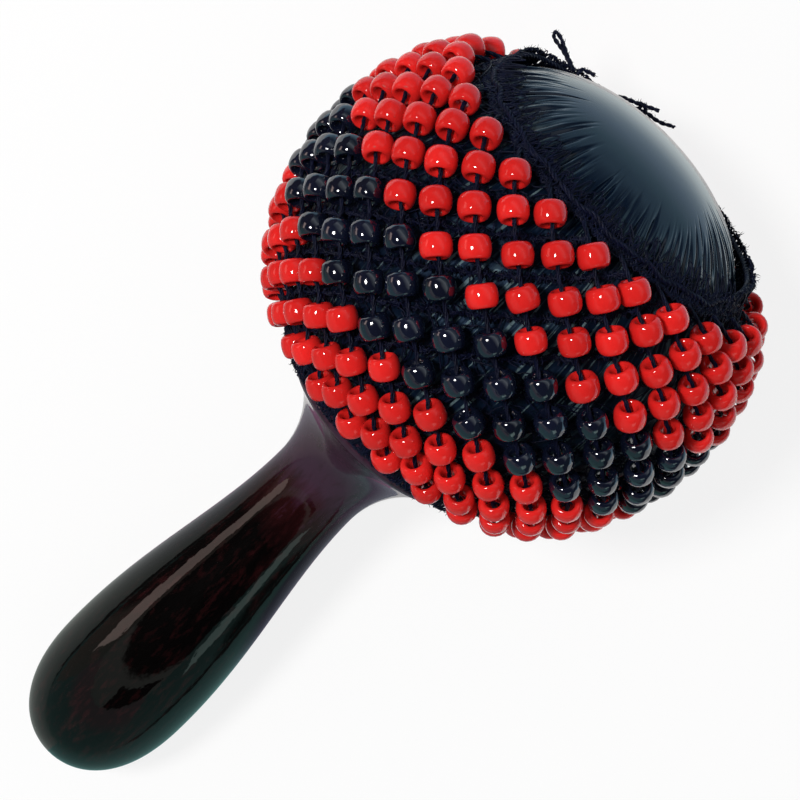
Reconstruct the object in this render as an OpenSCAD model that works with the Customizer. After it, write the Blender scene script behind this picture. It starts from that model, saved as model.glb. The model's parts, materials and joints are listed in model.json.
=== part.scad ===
// Cabasa: a hollow ball on a turned wooden handle, in a net of beads that slips round the ball.
// The pieces are drawn about the ball's centre, with the dome up along Z,
// and the whole instrument is then laid down on its beads and the butt of its handle.

/* [Ball] */
// Outer radius of the ball
ball_r = 59; // [57:0.5:60]
// Wall thickness of the two half shells
wall = 2.6; // [2:0.1:4]
// Depth of the lap joint at the ball's equator
lap = 5; // [3:0.5:8]
// How much lower the top of the dome is than a full ball
dome_flat = 2.4; // [0:0.1:3]
// Angle from the dome's top at which the flatter part begins
dome_edge = 38; // [30:1:40]

/* [Handle] */
// Distance from the ball's centre to the waist of the handle
waist_z = 84.5; // [82:0.5:90]
// Radius of the handle at its waist
waist_r = 14.1; // [13.5:0.1:15]
// Radius of the hollow flare between the waist and the ball
flare_r = 32; // [30:0.5:33]
// Distance from the ball's centre to the thickest place of the handle
swell_z = 172; // [165:1:180]
// Radius of the handle at its thickest place
swell_r = 23.1; // [20:0.1:26]
// Distance from the ball's centre to the butt end
butt_z = 207.5; // [203:0.5:215]
// How soon the grip thickens behind the waist
grip_fullness = 0.9; // [0.8:0.05:1]
// How blunt the butt is, where 2 is an ellipse
butt_bluntness = 2.35; // [2:0.05:3]
// Radius of the tenon that goes through the ball's wall
tenon_r = 11; // [9:0.5:12]

/* [Fixing screw] */
// Outer radius of the washer inside the ball
washer_r = 16; // [14:0.5:16]
// Thickness of the washer
washer_h = 2; // [1.5:0.5:3]
// Radius of the screw's shank
screw_r = 2.5; // [2:0.1:3]
// Length of the screw below its head
screw_len = 42; // [30:1:50]

/* [Beads] */
// Outer diameter of a bead
bead_d = 8.2; // [7.6:0.1:8.4]
// Length of a bead along its hole
bead_len = 5.7; // [5:0.1:6.2]
// Diameter of the hole in a bead
bead_bore = 3.4; // [3.2:0.1:3.6]
// Angle from the dome's top to the first row of beads
first_row = 56.1; // [56:0.1:57]
// Angle between one row of beads and the next
row_pitch = 5.68; // [5.6:0.02:5.7]
// Turn of each row against the row above it
row_shift = -6.86; // [-7.2:0.02:-6.8]
// Turn of the whole net round the ball
net_turn = -128.7; // [-140:0.1:-120]

/* [Net] */
// Space under the beads, where the net's cords lie
net_lift = 3.1; // [2.8:0.1:3.4]
// How far the rows at both ends of the net are pulled in towards the ball
end_pull = 1.5; // [0:0.1:1.6]
// Diameter of the thread that the beads are strung on
strand_d = 1; // [0.8:0.1:1]
// Diameter of the cords that cross under the strands
cord_d = 1.2; // [1:0.1:1.2]
// Diameter of the scalloped edging cord
edging_d = 1.3; // [1:0.1:1.4]
// Diameter of the drawstrings
drawstring_d = 1.8; // [1.4:0.1:1.8]
// Diameter of the drawstring's loose tails
tail_d = 1.2; // [1:0.1:1.4]

/* [Hidden] */
$fn = 72;

rows = 14;
beads_per_row = 24;
row_step = 360 / beads_per_row;
strand_turn = row_step + row_shift;
bead_r = bead_d / 2;
bead_round = 1.1;
bead_barrel_r = 5.5;
fit = 0.1;
seat_gap = 0.05;
net_gap = 0.4;

// Distances of beads, strands and cords from the ball's centre, at row k of the net
function pull(k) = end_pull * pow(min(1, abs(2 * k / (rows - 1) - 1)), 6);
function bead_shell_r(k) = ball_r + net_lift - pull(k) + bead_r;
strand_dip = 1.45;
function strand_mid_r(k) = bead_shell_r(k) - strand_dip;
function cord_high_r(k) = strand_mid_r(k) - strand_d / 2 - cord_d / 2 - fit;
cord_low_r = ball_r + net_gap + cord_d / 2;

// Edges of the net, as angles from the dome's top, and the lift of what lies there
top_edge = 44;
bottom_edge = 141.6;
edging_waves = 48;
edging_steps = 4;
drawstring_lift = 2.2;
edging_low_r = ball_r + net_gap + edging_d / 2;
drawstring_r = ball_r + drawstring_lift + drawstring_d / 2;
edging_high_r = drawstring_r + drawstring_d / 2 + edging_d / 2 + 2 * fit;
strand_end_r = edging_low_r + edging_d / 2 + strand_d / 2 + fit;

// Turned profile of the grip, from the waist to the butt
grip_steps = 24;
butt_steps = 20;
function grip_r(u) = waist_r + (swell_r - waist_r) * pow(sin(90 * pow(u, grip_fullness)), 2);
function round_r(u) = swell_r * pow(1 - pow(u, butt_bluntness), 1 / butt_bluntness);
grip_line = [for (i = [0:grip_steps - 1])
    let (u = i / grip_steps) [grip_r(u), -waist_z - u * (swell_z - waist_z)]];
butt_line = [for (i = [0:butt_steps])
    let (u = sin(90 * i / butt_steps)) [round_r(u), -swell_z - u * (butt_z - swell_z)]];
flare_centre = [waist_r + flare_r, -waist_z];
lip_r = (norm(flare_centre) - flare_r - ball_r - seat_gap) / 2;
lip_centre = flare_centre * (ball_r + seat_gap + lip_r) / norm(flare_centre);

// Places inside the ball
inner_r = ball_r - wall;
washer_z = sqrt(inner_r * inner_r - washer_r * washer_r) - seat_gap;
tenon_z = washer_z + 2 * fit;
screw_top_z = washer_z - washer_h;
screw_point = 6;
head_r = 5;
head_h = 3.2;

// A point at a distance from the ball's centre, an angle from the dome's top and a turn
function place(distance, colat, turn) =
    distance * [sin(colat) * cos(turn), sin(colat) * sin(turn), cos(colat)];
function row_angle(k) = first_row + row_pitch * k;
function strand_point(strand, k, distance) =
    place(distance, row_angle(k), net_turn + strand * row_step + strand_turn * k);
function unit(v) = v / norm(v);
function bead_centre(row, strand) = strand_point(strand, row, bead_shell_r(row));
function bead_axis(row, strand) =
    unit(strand_point(strand, row + 0.5, ball_r) - strand_point(strand, row - 0.5, ball_r));

// Loose ends of the drawstring behind the dome: lift off the ball, angle from the top, turn
tail_routes = [
    [[4.2, 42.8, 134.6], [8.6, 45.5, 136], [10.7, 46.7, 138.4], [12.2, 47.2, 139.8],
        [13.5, 46.7, 140.1], [12.7, 45.8, 139], [10.6, 45.2, 137], [4.2, 42.5, 132.6]],
    [[3.4, 42.5, 131.5], [4.6, 42.4, 130.8], [5.4, 42.4, 130], [5.7, 42.4, 129],
        [5.7, 42.2, 128], [5.7, 41.9, 127], [5.6, 41.6, 126], [5.6, 41.2, 125]],
    [[3.4, 42.5, 113], [4.8, 42.2, 111.5], [5.8, 41.8, 110], [6, 40.9, 107.5],
        [6.2, 40, 105], [6.6, 39.2, 102.6], [7.1, 38.2, 99.5], [7.7, 37.4, 96.5]],
    [[3.4, 42.7, 109.4], [4.8, 42.1, 107], [5.4, 41.3, 104.2], [5.5, 39.9, 101.5],
        [5.5, 38.8, 98.5], [5.6, 38.6, 95.2], [6.2, 38, 91.5], [7.2, 36.9, 87.6]]
];
tail_paths = [for (route = tail_routes) [for (p = route) place(ball_r + p[0], p[1], p[2])]];

// How far the beads or the butt reach in a direction, from the ball's centre
function bead_reach_one(c, a, d) =
    let (along = abs(a * d), across = sqrt(1 - along * along))
    let (barrel = (bead_r - bead_barrel_r) * across + bead_barrel_r)
    let (rim = (bead_r - bead_round) * across + (bead_len / 2 - bead_round) * along + bead_round)
    c * d + min(barrel, rim);
function bead_reach(d) = max([for (row = [0:rows - 1], strand = [0:beads_per_row - 1])
    bead_reach_one(bead_centre(row, strand), bead_axis(row, strand), d)]);
function butt_reach(along, across) = max([for (p = butt_line) -p[1] * along + p[0] * across]);

// Tilt at which the beads and the butt touch the same flat surface
function down(tilt) = [0, cos(tilt), -sin(tilt)];
function butt_too_low(tilt) = butt_reach(sin(tilt), cos(tilt)) > bead_reach(down(tilt));
function find_tilt(low, high, tries) =
    let (middle = (low + high) / 2)
    tries == 0 ? middle
    : butt_too_low(middle) ? find_tilt(low, middle, tries - 1)
    : find_tilt(middle, high, tries - 1);
rest_tilt = find_tilt(5, 30, 24);
front = [0, sin(rest_tilt), cos(rest_tilt)];
front_reach = max(ball_r, tail_d / 2 + max([for (path = tail_paths, p = path) p * front]));
rest_x = (butt_reach(cos(rest_tilt), sin(rest_tilt)) - front_reach) / 2;
rest_y = (bead_reach([1, 0, 0]) - bead_reach([-1, 0, 0])) / 2;
rest_z = bead_reach(down(rest_tilt));

module laid_down() {
    translate([rest_x, rest_y, rest_z])
        rotate([0, -rest_tilt, 0])
            rotate([-90, 0, 0])
                rotate([0, 90, 0])
                    children();
}

// Threads: tubes swept along points round the ball, all in one polyhedron
function tangent(path, i, closed) =
    let (n = len(path), before = closed ? (i + n - 1) % n : max(i - 1, 0))
    let (after = closed ? (i + 1) % n : min(i + 1, n - 1))
    unit(path[after] - path[before]);
function tube_ring(centre, along, radius, sides, up) =
    let (across = unit(cross(along, up)), out = cross(across, along))
    [for (j = [0:sides - 1])
        let (a = 360 * j / sides) centre + radius * (cos(a) * out + sin(a) * across)];
function tube_points(path, radius, sides, closed, up) =
    [for (i = [0:len(path) - 1])
        each tube_ring(path[i], tangent(path, i, closed), radius, sides, is_undef(up) ? path[i] : up)];
function side_faces(rings, sides, first, closed) =
    [for (i = [0:rings - (closed ? 1 : 2)], j = [0:sides - 1])
        let (a = first + i * sides + j, b = first + i * sides + (j + 1) % sides)
        let (next = first + ((i + 1) % rings) * sides)
        let (c = next + j, d = next + (j + 1) % sides)
        each [[a, c, b], [b, c, d]]];
function end_faces(rings, sides, first) =
    let (last = first + (rings - 1) * sides)
    [for (j = [1:sides - 2]) each
        [[first, first + j, first + j + 1], [last, last + j + 1, last + j]]];
function tube_faces(rings, sides, first, closed) =
    closed ? side_faces(rings, sides, first, true)
    : concat(side_faces(rings, sides, first, false), end_faces(rings, sides, first));

module tubes(paths, radius, sides = 4, closed = false, up = undef) {
    rings = len(paths[0]);
    polyhedron(
        points = [for (path = paths) each tube_points(path, radius, sides, closed, up)],
        faces = [for (t = [0:len(paths) - 1])
            each tube_faces(rings, sides, t * rings * sides, closed)]
    );
}

// Each strand runs through its beads, dips between them and is hooked over both edgings
function strand_lift(k) =
    k == -1 || k == rows ? strand_end_r
    : k == floor(k) ? bead_shell_r(k) : strand_mid_r(k);
strand_paths = [for (strand = [0:beads_per_row - 1])
    [for (k = [-1:0.5:rows]) strand_point(strand, k, strand_lift(k))]];

// Each cord is tied under the strands and lies on the ball between them
function cord_lift(k) = k == floor(k) ? cord_low_r : cord_high_r(k);
cord_paths = [for (cord = [0:beads_per_row - 1])
    [for (k = [-0.5:0.5:rows - 0.5])
        place(cord_lift(k), row_angle(k),
            net_turn + cord * row_step + strand_turn / 2 + row_shift * (k - 0.5))]];

// Scalloped edging that rises over its drawstring and dips to the ball between the strands
edging_turns = edging_waves * edging_steps;
function edging_path(edge, k) = [for (i = [0:edging_turns - 1])
    let (wave = (1 - cos(360 * i / edging_steps)) / 2)
    place(edging_low_r + (edging_high_r - edging_low_r) * wave,
        row_angle(k) + (edge - row_angle(k)) * wave,
        net_turn + strand_turn * k + 360 * i / edging_turns)];

module turned_section() {
    difference() {
        polygon(concat([[0, 0], flare_centre], grip_line, butt_line));
        translate(flare_centre) circle(flare_r);
        circle(ball_r + seat_gap);
    }
}

module handle() {
    color([0.16, 0.04, 0.03])
        laid_down()
            difference() {
                union() {
                    rotate_extrude() turned_section();
                    rotate_extrude() translate(lip_centre) circle(lip_r);
                    translate([0, 0, -ball_r - 1]) cylinder(r = tenon_r, h = ball_r + 1 - tenon_z);
                }
                translate([0, 0, -screw_top_z - screw_len - fit])
                    cylinder(r = screw_r + fit, h = screw_len);
            }
}

lap_r = ball_r - wall / 2;

module lower_shell_section() {
    difference() {
        circle(ball_r);
        circle(inner_r);
        translate([-2 * ball_r, -2 * ball_r]) square([2 * ball_r, 4 * ball_r]);
        square([2 * ball_r, 2 * ball_r]);
        intersection() {
            circle(lap_r + fit / 2);
            translate([0, -lap]) square([2 * ball_r, lap]);
        }
        translate([0, -2 * ball_r]) square([tenon_r + fit, 2 * ball_r]);
    }
}

// Dome's outline from the equator to its flattened top, then back inside and round the lap
dome_steps = 30;
lap_end = lap - fit;
tongue_r = lap_r - fit / 2;
function dome_sink(colat) = dome_flat * pow(max(0, 1 - pow(colat / dome_edge, 2)), 2);
function dome_line(r, angles) = [for (colat = angles) (r - dome_sink(colat)) * [sin(colat), cos(colat)]];
down_angles = [for (i = [0:dome_steps]) 90 * i / dome_steps];
up_angles = [for (i = [dome_steps:-1:0]) 90 * i / dome_steps];

module upper_shell_section() {
    polygon(concat(
        dome_line(ball_r, up_angles),
        dome_line(inner_r, down_angles),
        [[sqrt(inner_r * inner_r - lap_end * lap_end), -lap_end],
            [sqrt(tongue_r * tongue_r - lap_end * lap_end), -lap_end], [tongue_r, 0]]
    ));
}

module lower_shell() {
    color([0.05, 0.06, 0.07])
        laid_down()
            rotate_extrude() lower_shell_section();
}

module upper_shell() {
    color([0.05, 0.06, 0.07])
        laid_down()
            rotate_extrude() upper_shell_section();
}

module screw_washer() {
    color("silver")
        laid_down()
            translate([0, 0, -washer_z])
                difference() {
                    cylinder(r = washer_r, h = washer_h);
                    translate([0, 0, -1]) cylinder(r = screw_r + fit, h = washer_h + 2);
                }
}

module handle_screw() {
    color("gainsboro")
        laid_down()
            translate([0, 0, -screw_top_z])
                rotate_extrude()
                    union() {
                        polygon([[0, -screw_len], [screw_r, -screw_len + screw_point],
                            [screw_r, 0], [0, 0]]);
                        square([head_r, head_h / 2]);
                        intersection() {
                            translate([0, head_h - 2 * head_r]) circle(2 * head_r);
                            square([head_r, head_h]);
                        }
                    }
}

// Barrel section of one bead, round at its ends and its rim
module bead_section() {
    wall_in = bead_bore / 2;
    half = bead_len / 2;
    intersection() {
        union() {
            translate([wall_in, bead_round - half])
                square([bead_r - wall_in, bead_len - 2 * bead_round]);
            translate([wall_in + bead_round, -half])
                square([bead_r - wall_in - 2 * bead_round, bead_len]);
            for (x = [wall_in + bead_round, bead_r - bead_round], y = [bead_round - half, half - bead_round])
                translate([x, y]) circle(bead_round);
        }
        translate([bead_r - bead_barrel_r, 0]) circle(bead_barrel_r);
    }
}

module bead_row(row) {
    laid_down()
        for (strand = [0:beads_per_row - 1]) {
            a = bead_axis(row, strand);
            translate(bead_centre(row, strand))
                rotate([0, acos(a[2]), atan2(a[1], a[0])])
                    rotate_extrude($fn = 24) bead_section($fn = 24);
        }
}

module red_bead_row(number) {
    color([0.85, 0.1, 0.07]) bead_row(number - 1);
}

module black_bead_row(number) {
    color([0.06, 0.07, 0.09]) bead_row(number - 1);
}

module bead_strands() {
    color([0.05, 0.06, 0.1]) laid_down() tubes(strand_paths, strand_d / 2);
}

module net_cords() {
    color([0.04, 0.05, 0.09]) laid_down() tubes(cord_paths, cord_d / 2);
}

module top_edging() {
    color([0.03, 0.03, 0.05])
        laid_down()
            tubes([edging_path(top_edge, -1)], edging_d / 2, closed = true);
}

module bottom_edging() {
    color([0.03, 0.03, 0.05])
        laid_down()
            tubes([edging_path(bottom_edge, rows)], edging_d / 2, closed = true);
}

module drawstring(edge) {
    color([0.03, 0.03, 0.05])
        laid_down()
            rotate_extrude()
                translate([drawstring_r * sin(edge), drawstring_r * cos(edge)])
                    circle(drawstring_d / 2, $fn = 24);
}

module drawstring_tails() {
    color([0.02, 0.02, 0.04]) laid_down() tubes(tail_paths, tail_d / 2, 6, up = [0, 1, 0]);
}

handle();
lower_shell();
upper_shell();
screw_washer();
handle_screw();
red_bead_row(1);  // red_bead_row_01
red_bead_row(2);  // red_bead_row_02
red_bead_row(3);  // red_bead_row_03
red_bead_row(4);  // red_bead_row_04
red_bead_row(5);  // red_bead_row_05
black_bead_row(6);  // black_bead_row_06
black_bead_row(7);  // black_bead_row_07
black_bead_row(8);  // black_bead_row_08
black_bead_row(9);  // black_bead_row_09
red_bead_row(10);  // red_bead_row_10
red_bead_row(11);  // red_bead_row_11
red_bead_row(12);  // red_bead_row_12
red_bead_row(13);  // red_bead_row_13
red_bead_row(14);  // red_bead_row_14
bead_strands();
net_cords();
top_edging();
bottom_edging();
drawstring(top_edge);  // top_drawstring
drawstring(bottom_edge);  // bottom_drawstring
drawstring_tails();
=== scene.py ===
"""Looks of the cabasa: wood, gloss skin, beads and crocheted net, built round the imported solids."""

import json
import math
import random

import bmesh
import bpy
from bpy.props import FloatProperty, FloatVectorProperty, IntProperty, PointerProperty
from mathutils import Matrix, Vector, noise


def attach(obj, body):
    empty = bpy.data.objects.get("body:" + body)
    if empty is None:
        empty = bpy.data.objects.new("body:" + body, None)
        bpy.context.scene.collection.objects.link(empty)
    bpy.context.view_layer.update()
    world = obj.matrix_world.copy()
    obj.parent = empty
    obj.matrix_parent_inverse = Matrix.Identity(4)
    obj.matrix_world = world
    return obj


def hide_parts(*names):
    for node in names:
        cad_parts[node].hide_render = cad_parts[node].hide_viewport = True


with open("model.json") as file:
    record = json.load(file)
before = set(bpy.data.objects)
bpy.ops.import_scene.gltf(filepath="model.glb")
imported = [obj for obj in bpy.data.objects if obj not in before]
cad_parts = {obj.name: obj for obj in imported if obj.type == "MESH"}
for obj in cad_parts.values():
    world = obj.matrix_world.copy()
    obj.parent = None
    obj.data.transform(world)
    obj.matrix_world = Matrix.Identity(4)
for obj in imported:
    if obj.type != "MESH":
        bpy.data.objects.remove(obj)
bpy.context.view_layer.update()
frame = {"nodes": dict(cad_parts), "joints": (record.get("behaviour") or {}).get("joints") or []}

bl_info = {
    "name": "Cabasa",
    "version": (1, 0, 0),
    "blender": (4, 5, 0),
    "location": "View3D > Sidebar > Cabasa",
    "description": "Dresses the packed cabasa and sets its stage",
    "category": "Object",
}

MM = 0.001
JOINT = frame["joints"][0]

# The net: angles from the top of the dome and turns about the axis, in degrees
ROWS = 14
BLACK_ROWS = range(6, 10)
STRANDS = 24
STEP = 360 / STRANDS
FIRST_ROW = 56.1
ROW_PITCH = 5.68
ROW_SHIFT = -6.86
NET_TURN = -128.7
STRAND_TURN = STEP + ROW_SHIFT
TOP_EDGE = 44
BOTTOM_EDGE = 141.6
SCALLOPS = 48

# Turns at which the top edging lies on the ball, and at which few stray threads hide the film
HUG_TURN = -104
BARE_TURN = -66

# How far the strands dip between beads, how far the cords pass under them, and the cords' lift off the ball
STRAND_DIP = 1.45 * MM
CORD_DROP = 1.2 * MM
CORD_LIFT = 1.0 * MM

# The ball: its flattened dome, the tenon and its hole, and the lap joint of the half shells
DOME_FLAT = 2.4 * MM
DOME_EDGE = 38
TENON_RADIUS = 11 * MM
TENON_END = -53.9 * MM
HOLE_RADIUS = 11.1 * MM
LAP_DEPTH = 4.9 * MM
LAP_RECESS = 5 * MM

# The film's folds: angles from the top, depths in mm, and the ways in which they start late or early
FOLDS_FROM = 18
FOLDS_TO = 66
FOLD_TIP = 29
FOLD_DEPTH = 1.6
EARLY_EASE = 0.9
LATE_FOLDS = Vector((0.41, -0.91, 0))
EARLY_FOLDS = Vector((0.98, -0.20, 0))

# Radii of the threads
STRAND_PLY = 0.33 * MM
CORD_PLY = 0.34 * MM
CORD_STITCH = 0.24 * MM
STRAY = 0.2 * MM
THIN_STRAY = 0.17 * MM
EDGE_CHAIN = 0.29 * MM
SCALLOP_PLY = 0.25 * MM
EDGE_STITCH = 0.26 * MM
LACE_LOOP = 0.19 * MM
DRAW_PLY = 0.44 * MM
TAIL_PLY = 0.4 * MM
FIBRE = 0.07 * MM
EDGE_FIBRE = 0.08 * MM
TAIL_FIBRE = 0.085 * MM

# Seeds of the threads' random draws
STRAND_SEED = 21
CORD_SEED = 33
TOP_SEED = 51
BOTTOM_SEED = 52
TAIL_SEED = 64

# Loose ends of the drawstring behind the dome: lift off the ball in mm, angle from the top, turn
TAIL_ROUTES = [
    [(3.8, 42.8, 134), (8.5, 45.3, 136.3), (10.7, 46.5, 138.3), (12.2, 47.1, 139.8), (13.5, 46.7, 140.1),
     (12.6, 45.9, 139.1), (10.5, 45.4, 137.3), (8.3, 44.8, 135.8), (3.8, 42.6, 133.2)],
    [(3.4, 42.5, 131.5), (4.6, 42.4, 130.8), (5.4, 42.4, 130), (5.7, 42.4, 129),
     (5.7, 42.2, 128), (5.7, 41.9, 127), (5.6, 41.6, 126), (5.6, 41.2, 125)],
    [(3.4, 42.5, 113), (4.8, 42.2, 111.5), (5.8, 41.8, 110), (6, 40.9, 107.5),
     (6.2, 40, 105), (6.6, 39.2, 102.6), (7.1, 38.2, 99.5), (7.7, 37.4, 96.5)],
    [(3.4, 42.7, 109.4), (4.8, 42.1, 107), (5.4, 41.3, 104.2), (5.5, 39.9, 101.5),
     (5.5, 38.8, 98.5), (5.6, 38.6, 95.2), (6.2, 38, 91.5), (7.2, 36.9, 87.6)],
    [(6.3, 39.6, 103.9), (6.9, 39.2, 102.4), (6.4, 39.0, 100.9), (5.7, 39.2, 100.3), (5.2, 39.6, 101.2),
     (5.5, 39.9, 102.6), (6.3, 39.7, 102.6)],
]


class CabasaSizes(bpy.types.PropertyGroup):
    """Sizes of the cabasa's pieces."""

    ball_radius: FloatProperty(
        name="Ball radius", description="Outer radius of the ball", default=0.059, unit="LENGTH")
    ball_wall: FloatProperty(
        name="Ball wall", description="Thickness of the half shells", default=0.0026, unit="LENGTH")
    waist_radius: FloatProperty(
        name="Waist radius", description="Radius of the handle at its waist", default=0.0141,
        unit="LENGTH")
    swell_radius: FloatProperty(
        name="Swell radius", description="Radius of the handle at its thickest", default=0.0231,
        unit="LENGTH")
    bead_diameter: FloatProperty(
        name="Bead diameter", description="Outer diameter of a bead", default=0.0082, unit="LENGTH")
    bead_length: FloatProperty(
        name="Bead length", description="Length of a bead along its hole", default=0.0057, unit="LENGTH")
    bead_bore: FloatProperty(
        name="Bead bore", description="Diameter of the hole in a bead", default=0.0034, unit="LENGTH")
    net_lift: FloatProperty(
        name="Net lift", description="Space under the beads", default=0.0031, unit="LENGTH")
    end_pull: FloatProperty(
        name="End pull", description="How far the end rows are pulled in", default=0.0015, unit="LENGTH")
    bead_seed: IntProperty(
        name="Bead seed", description="Picks how each bead leans on its strand", default=7)


class CabasaColours(bpy.types.PropertyGroup):
    """Colours of the cabasa's finishes."""

    wood_dark: FloatVectorProperty(
        name="Dark wood", description="Stained wood between the grain", subtype="COLOR",
        default=(0.0006, 0.0003, 0.0003))
    wood_red: FloatVectorProperty(
        name="Red wood", description="Red grain that shows through the lacquer", subtype="COLOR",
        default=(0.018, 0.0026, 0.0032))
    wood_neck: FloatVectorProperty(
        name="Neck wood", description="Purple-brown wood beside the ball", subtype="COLOR",
        default=(0.042, 0.015, 0.032))
    gloss_black: FloatVectorProperty(
        name="Ball black", description="Gloss skin of the ball", subtype="COLOR",
        default=(0.0020, 0.006, 0.017))
    # Painted highlight: lighter grey painted on the crests of the film's folds, where they catch the light.
    fold_highlight_grey: FloatVectorProperty(
        name="Fold grey", description="Highlit crests of the skin's folds", subtype="COLOR",
        default=(0.023, 0.040, 0.0535))
    # Painted glints: lighter grey painted in strokes on the creases of the film under the net.
    net_glint_grey: FloatVectorProperty(
        name="Glinting grey", description="Glinting strokes of the skin under the net", subtype="COLOR",
        default=(0.10, 0.15, 0.165))
    bead_red: FloatVectorProperty(
        name="Red bead", description="Moulded red beads", subtype="COLOR",
        default=(0.78, 0.020, 0.018))
    bead_black: FloatVectorProperty(
        name="Black bead", description="Moulded black beads", subtype="COLOR",
        default=(0.0040, 0.0058, 0.0160))
    thread: FloatVectorProperty(
        name="Thread", description="Navy-black crochet thread", subtype="COLOR",
        default=(0.0013, 0.0026, 0.015))
    steel: FloatVectorProperty(
        name="Steel", description="Zinc-plated screw and washer", subtype="COLOR",
        default=(0.62, 0.63, 0.65))


def sizes():
    """The sizes that the panel shows."""
    return bpy.context.scene.cabasa_sizes


def colours():
    """The colours that the panel shows."""
    return bpy.context.scene.cabasa_colours


def laid_down():
    """Matrix from the instrument, dome up along Z, to where it lies on the floor."""
    along = Vector(JOINT["axis"]).normalized()
    side = Vector((0, -1, 0))
    under = along.cross(side)
    matrix = Matrix((side, under, along)).transposed().to_4x4()
    matrix.translation = JOINT["pos_m"]
    return matrix


def on_ball(distance, colat, turn):
    """A point at a distance from the ball's centre, with an angle from the top and a turn in degrees."""
    c = math.radians(colat)
    t = math.radians(turn)
    return Vector((math.sin(c) * math.cos(t), math.sin(c) * math.sin(t), math.cos(c))) * distance


def row_angle(k):
    """Angle of row k from the top of the dome."""
    return FIRST_ROW + ROW_PITCH * k


def shell_radius(k):
    """Distance from the ball's centre to the bead centres of row k."""
    s = sizes()
    pull = s.end_pull * min(1, abs(2 * k / (ROWS - 1) - 1)) ** 6
    return s.ball_radius + s.net_lift - pull + s.bead_diameter / 2


def soft_step(t):
    """Eases from 0 at t = 0 to 1 at t = 1."""
    t = min(1, max(0, t))
    return t * t * (3 - 2 * t)


def hugging(turn):
    """1 on the side where the edging lies close to the ball, 0 where it stands off."""
    near = (1 + math.cos(math.radians(turn - HUG_TURN))) / 2
    return soft_step((near - 0.42) / 0.3)


def bow(j, steps):
    """Rises from 0 to 1 and sinks back to 0 as j goes from 0 to steps."""
    return math.sin(math.pi * j / steps)


def strand_point(strand, k, distance):
    """A point of a strand at row k, or between rows, at a distance from the ball's centre."""
    return on_ball(distance, row_angle(k), NET_TURN + strand * STEP + STRAND_TURN * k)


def add_piece(name, bm, material, body, slot, *nodes):
    """Lays a bmesh down with the instrument and makes it a piece that stands for CAD nodes."""
    bmesh.ops.transform(bm, matrix=laid_down(), verts=bm.verts)
    for face in bm.faces:
        face.smooth = True
    mesh = bpy.data.meshes.new(name)
    bm.to_mesh(mesh)
    bm.free()
    mesh.materials.append(material)
    piece = bpy.data.objects.new(name, mesh)
    bpy.context.scene.collection.objects.link(piece)
    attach(piece, body)
    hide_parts(*nodes)
    return piece


def turned(profile, steps):
    """A bmesh turned on the Z axis from a profile of (radius, height)."""
    bm = bmesh.new()
    verts = [bm.verts.new((r, 0, z)) for r, z in profile]
    edges = [bm.edges.new(pair) for pair in zip(verts, verts[1:])]
    bmesh.ops.spin(bm, geom=verts + edges, cent=(0, 0, 0), axis=(0, 0, 1), dvec=(0, 0, 0),
                   angle=math.tau, steps=steps, use_merge=True, use_duplicate=False)
    bmesh.ops.remove_doubles(bm, verts=bm.verts, dist=1e-6)
    bmesh.ops.recalc_face_normals(bm, faces=bm.faces)
    return bm


def sweep(bm, lines, radius, closed=False, taper=False):
    """Adds round threads along lines of points to a bmesh."""
    curve = bpy.data.curves.new("thread", "CURVE")
    curve.dimensions = "3D"
    curve.bevel_depth = radius
    curve.bevel_resolution = 0
    curve.use_fill_caps = not closed
    for line in lines:
        spline = curve.splines.new("POLY")
        spline.points.add(len(line) - 1)
        for point, place in zip(spline.points, line):
            point.co = (*place, 1)
        if taper:
            spline.points[-1].radius = 0.35
        spline.use_cyclic_u = closed
    holder = bpy.data.objects.new("thread", curve)
    mesh = bpy.data.meshes.new_from_object(holder)
    bm.from_mesh(mesh)
    bpy.data.objects.remove(holder)
    bpy.data.curves.remove(curve)
    bpy.data.meshes.remove(mesh)


def frames(line, closed=False):
    """For each point of a line: the point, the way out from the ball and the way across the line."""
    n = len(line)
    found = []
    for i, p in enumerate(line):
        before = line[i - 1] if closed or i else line[0]
        after = line[(i + 1) % n] if closed or i < n - 1 else line[-1]
        along = (after - before).normalized()
        across = along.cross(p).normalized()
        found.append((p, across.cross(along), across))
    return found


def twisted(line, plies, offset, lay, closed=False, phase=0):
    """Lines of plies that twist round a line, once in every lay."""
    spots = frames(line, closed)
    length = sum((b - a).length for a, b in zip(line, line[1:]))
    turns = length / lay
    if closed:
        turns = round(turns)
    out = [[] for _ in range(plies)]
    gone = 0
    for i, (p, up, across) in enumerate(spots):
        if i:
            gone += (line[i] - line[i - 1]).length
        for j in range(plies):
            a = math.tau * (turns * gone / length + j / plies) + phase
            out[j].append(p + (up * math.cos(a) + across * math.sin(a)) * offset)
    return out


def zigzag(line, width, period, closed=False, phase=0, lift=0):
    """A line that swings from side to side of a line, as a crochet stitch does."""
    out = []
    gone = 0
    length = sum((b - a).length for a, b in zip(line, line[1:]))
    waves = length / period
    if closed:
        waves = round(waves)
    for i, (p, up, across) in enumerate(frames(line, closed)):
        if i:
            gone += (line[i] - line[i - 1]).length
        a = math.tau * waves * gone / length + phase
        out.append(p + across * width * math.sin(a) + up * (lift + 0.4 * width * math.cos(2 * a)))
    return out


def fuzz(lines, count, length, rng):
    """Short stray fibres that stand off lines of thread."""
    fibres = []
    for _ in range(count):
        line = rng.choice(lines)
        p = rng.choice(line)
        out = p.normalized()
        way = Vector((rng.gauss(0, 1), rng.gauss(0, 1), rng.gauss(0, 1))).normalized()
        way = (way + out * 0.5).normalized()
        bend = Vector((rng.gauss(0, 1), rng.gauss(0, 1), rng.gauss(0, 1))).normalized()
        reach = length * rng.uniform(0.5, 1)
        fibres.append([p, p + way * reach * 0.5, p + (way + bend * 0.5).normalized() * reach])
    return fibres


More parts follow.
